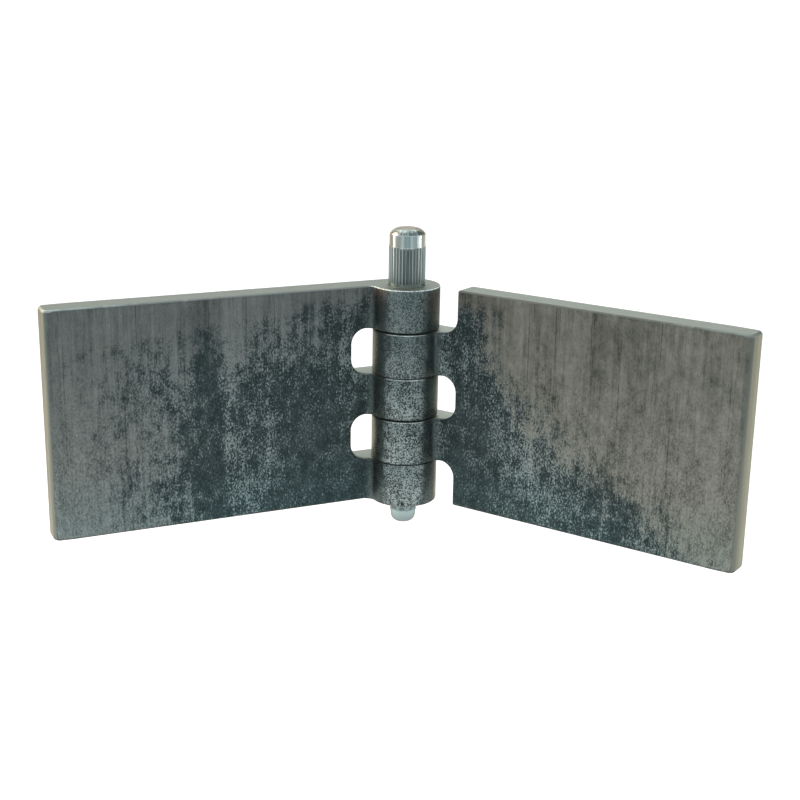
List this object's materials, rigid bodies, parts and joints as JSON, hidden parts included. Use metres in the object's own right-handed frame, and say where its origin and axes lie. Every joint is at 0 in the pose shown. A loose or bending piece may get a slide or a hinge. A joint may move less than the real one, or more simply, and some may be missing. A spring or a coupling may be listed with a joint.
{
  "type": "weld-on leaf hinge",
  "caption": "Weld-on leaf hinge of drawn steel section: two plain plate leaves with interleaved knuckles that turn on a straight-knurled pin.",
  "frame": {"origin": "on the pin axis, at half the height of the barrel", "axes": "+Z along the pin towards its knurled head; +Y out of the weld face of the fixed leaf, which runs along -X"},
  "size_m": [0.1271, 0.0747, 0.0685],
  "materials": {
    "leaf_steel": "drawn, with mottled dark mill scale",
    "pin_steel": "bright turned"
  },
  "bodies": {
    "fixed_leaf": {"three_knuckle_leaf": "leaf_steel", "hinge_pin": "pin_steel"},
    "swinging_leaf": {"two_knuckle_leaf": "leaf_steel"}
  },
  "joints": [
    {"name": "leaf_swing", "type": "hinge", "parent": "fixed_leaf", "child": "swinging_leaf", "pos_m": [0, 0, 0], "axis": [0, 0, 1], "range_deg": [-121, 159]}
  ]
}
